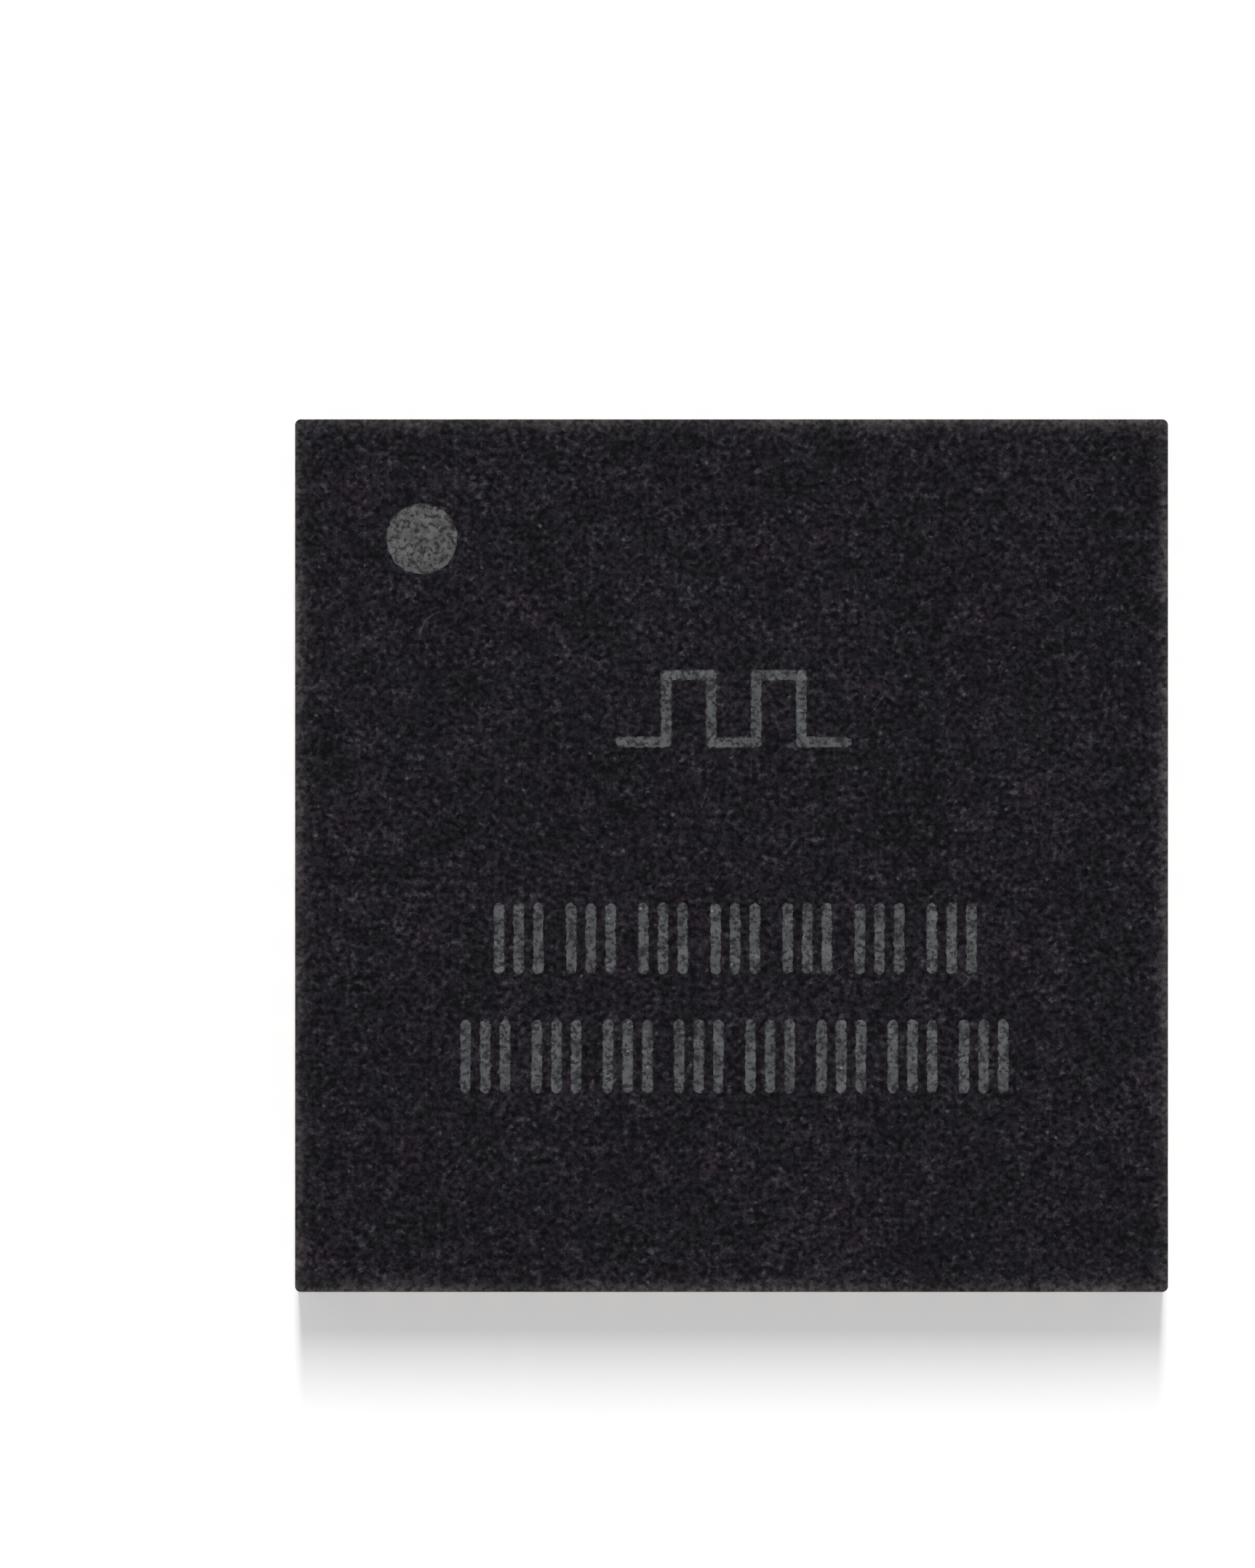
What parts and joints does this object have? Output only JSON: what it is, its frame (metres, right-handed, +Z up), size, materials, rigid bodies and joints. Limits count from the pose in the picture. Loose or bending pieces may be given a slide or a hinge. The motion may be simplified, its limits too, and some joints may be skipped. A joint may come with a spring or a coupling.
{
  "type": "flat no-lead power control chip",
  "caption": "Square moulded chip with sawn sides, a dot at pin 1, small flush solder lands along every side and a large heat pad underneath, to switch and regulate power on a circuit board.",
  "frame": {"origin": "centre of the heat pad, on the solder plane", "axes": "+Z up through the marked face, +X and +Y along the sides, with pin 1 at the corner at -X and +Y"},
  "size_m": [0.006, 0.006, 0.0009],
  "materials": {
    "mould_compound": "fine grained, matt",
    "tinned_lead": "rough matt tin",
    "tinned_pad": "satin tin",
    "silicon": "polished",
    "silver_glue": "matt",
    "gold_wire": "drawn"
  },
  "bodies": {
    "root": {"mould_body": "mould_compound", "die_paddle": "tinned_pad", "silicon_die": "silicon", "die_attach": "silver_glue", "bond_wires": "gold_wire", "lead_01": "tinned_lead", "lead_02": "tinned_lead", "lead_03": "tinned_lead", "lead_04": "tinned_lead", "lead_05": "tinned_lead", "lead_06": "tinned_lead", "lead_07": "tinned_lead", "lead_08": "tinned_lead", "lead_09": "tinned_lead", "lead_10": "tinned_lead", "lead_11": "tinned_lead", "lead_12": "tinned_lead", "lead_13": "tinned_lead", "lead_14": "tinned_lead", "lead_15": "tinned_lead", "lead_16": "tinned_lead", "lead_17": "tinned_lead", "lead_18": "tinned_lead", "lead_19": "tinned_lead", "lead_20": "tinned_lead", "lead_21": "tinned_lead", "lead_22": "tinned_lead", "lead_23": "tinned_lead", "lead_24": "tinned_lead", "lead_25": "tinned_lead", "lead_26": "tinned_lead", "lead_27": "tinned_lead", "lead_28": "tinned_lead", "lead_29": "tinned_lead", "lead_30": "tinned_lead", "lead_31": "tinned_lead", "lead_32": "tinned_lead", "lead_33": "tinned_lead", "lead_34": "tinned_lead", "lead_35": "tinned_lead", "lead_36": "tinned_lead", "lead_37": "tinned_lead", "lead_38": "tinned_lead", "lead_39": "tinned_lead", "lead_40": "tinned_lead", "lead_41": "tinned_lead", "lead_42": "tinned_lead", "lead_43": "tinned_lead", "lead_44": "tinned_lead", "lead_45": "tinned_lead", "lead_46": "tinned_lead", "lead_47": "tinned_lead", "lead_48": "tinned_lead", "lead_49": "tinned_lead", "lead_50": "tinned_lead", "lead_51": "tinned_lead", "lead_52": "tinned_lead"}
  },
  "joints": []
}
